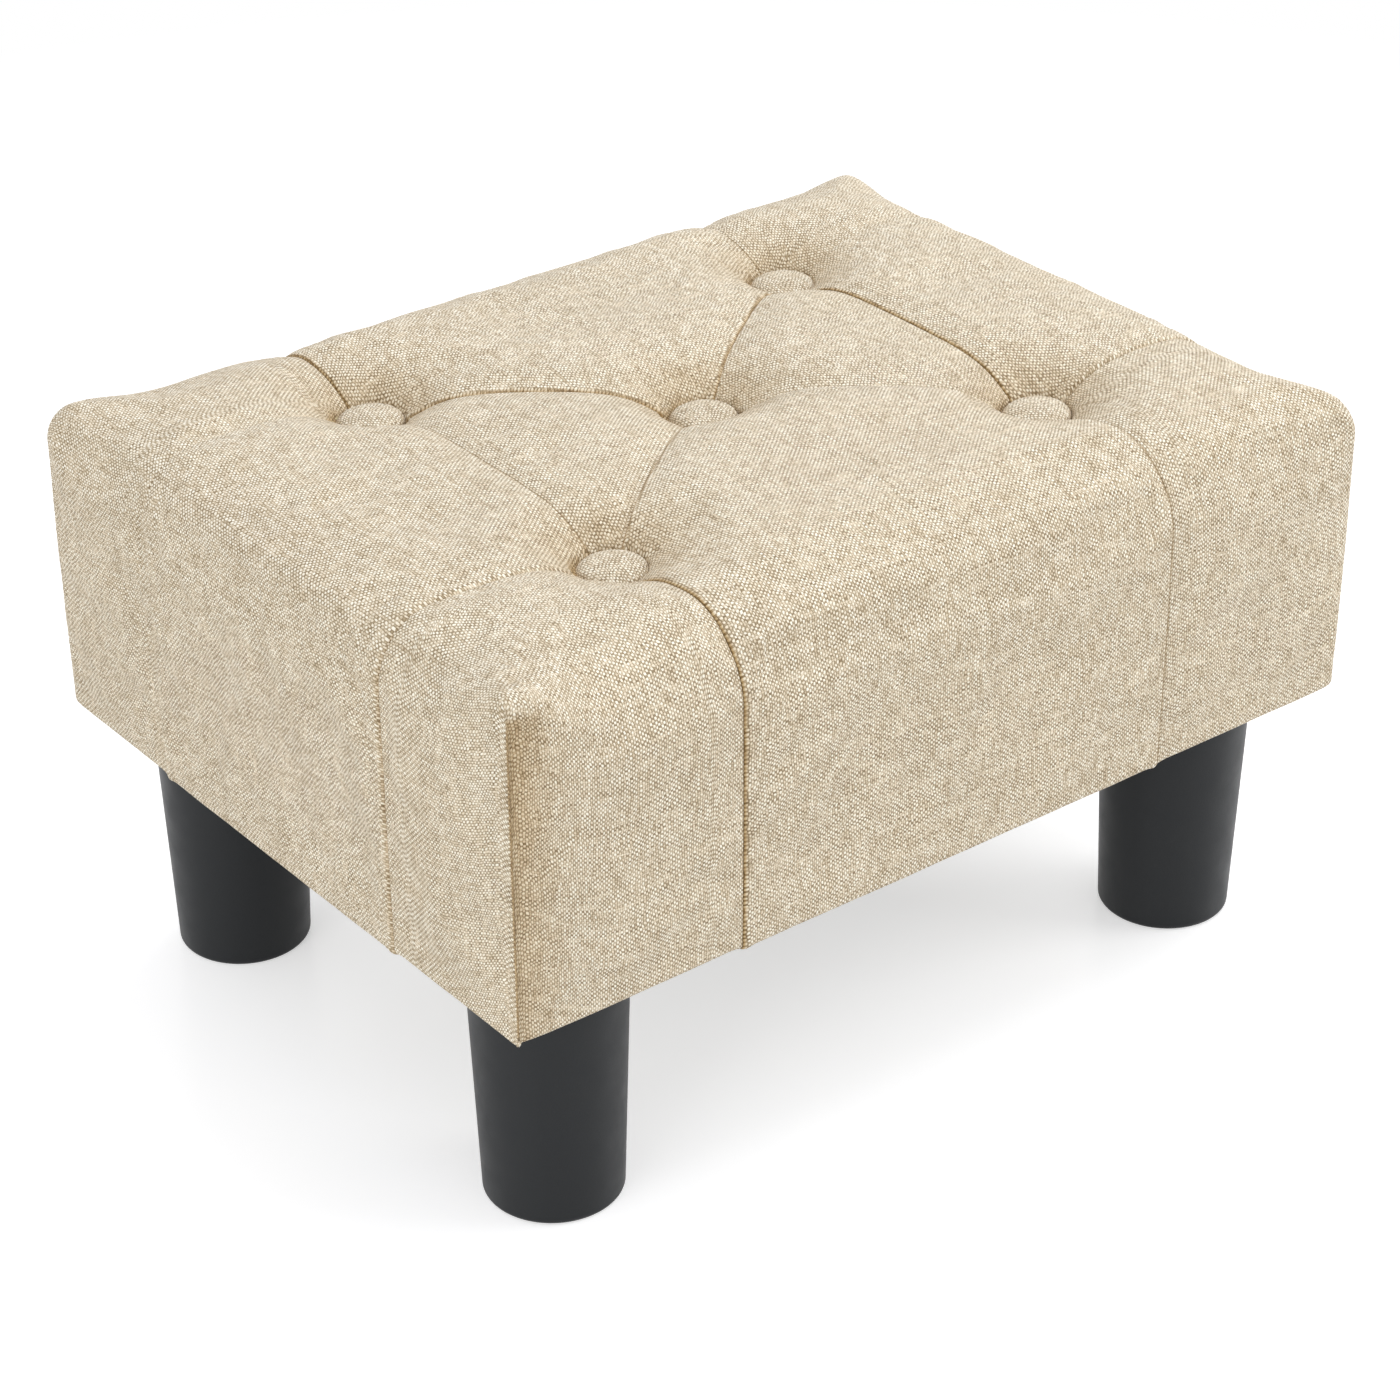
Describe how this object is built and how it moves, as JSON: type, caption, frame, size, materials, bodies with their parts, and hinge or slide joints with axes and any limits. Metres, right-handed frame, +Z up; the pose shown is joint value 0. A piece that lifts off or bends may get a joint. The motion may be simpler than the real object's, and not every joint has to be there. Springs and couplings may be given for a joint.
{
  "type": "upholstered footstool",
  "caption": "Low rectangular footstool with a button-tufted padded top and sides in linen-look fabric, on tapered round black plastic legs.",
  "frame": {"origin": "on the floor under the middle of the stool", "axes": "+Z up, +X along the long side, +Y towards the rear long side"},
  "size_m": [0.4, 0.304, 0.2406],
  "materials": {
    "cover_fabric": "beige linen-look weave with cream and tan slubs, bonded to polyester wadding",
    "button_fabric": "the same linen-look weave, stretched over a metal button",
    "leg_plastic": "black moulded plastic with a fine grain",
    "plywood": "sanded birch plywood",
    "pine": "planed pine",
    "foam": "pale polyurethane foam",
    "zinc_steel": "bright zinc-plated steel",
    "staple_steel": "galvanised wire",
    "button_metal": "pressed aluminium",
    "twine": "waxed nylon tufting twine",
    "dust_cloth": "black non-woven polypropylene cloth"
  },
  "bodies": {
    "root": {"seat_board": "plywood", "front_rail": "pine", "rear_rail": "pine", "left_rail": "pine", "right_rail": "pine", "corner_block_front_left": "pine", "corner_block_rear_left": "pine", "corner_block_front_right": "pine", "corner_block_rear_right": "pine", "rail_screws": "zinc_steel", "board_screws": "zinc_steel", "block_screws": "zinc_steel", "leg_front_left": "leg_plastic", "leg_rear_left": "leg_plastic", "leg_front_right": "leg_plastic", "leg_rear_right": "leg_plastic", "leg_stud_front_left": "zinc_steel", "leg_stud_rear_left": "zinc_steel", "leg_stud_front_right": "zinc_steel", "leg_stud_rear_right": "zinc_steel", "tee_nuts": "zinc_steel", "seat_foam": "foam", "front_side_foam": "foam", "rear_side_foam": "foam", "left_side_foam": "foam", "right_side_foam": "foam", "cover_front": "cover_fabric", "cover_rear": "cover_fabric", "cover_left_end": "cover_fabric", "cover_right_end": "cover_fabric", "cover_left_triangle": "cover_fabric", "cover_right_triangle": "cover_fabric", "cover_corner_front_left": "cover_fabric", "cover_corner_rear_left": "cover_fabric", "cover_corner_front_right": "cover_fabric", "cover_corner_rear_right": "cover_fabric", "button_cover_front_left": "button_fabric", "button_cover_rear_left": "button_fabric", "button_cover_front_right": "button_fabric", "button_cover_rear_right": "button_fabric", "button_cover_middle": "button_fabric", "button_shell_front_left": "button_metal", "button_shell_rear_left": "button_metal", "button_shell_front_right": "button_metal", "button_shell_rear_right": "button_metal", "button_shell_middle": "button_metal", "button_backs": "button_metal", "tufting_twines": "twine", "twine_staples": "staple_steel", "cover_staples": "staple_steel", "dust_cover": "dust_cloth", "dust_cover_staples": "staple_steel"}
  },
  "joints": []
}
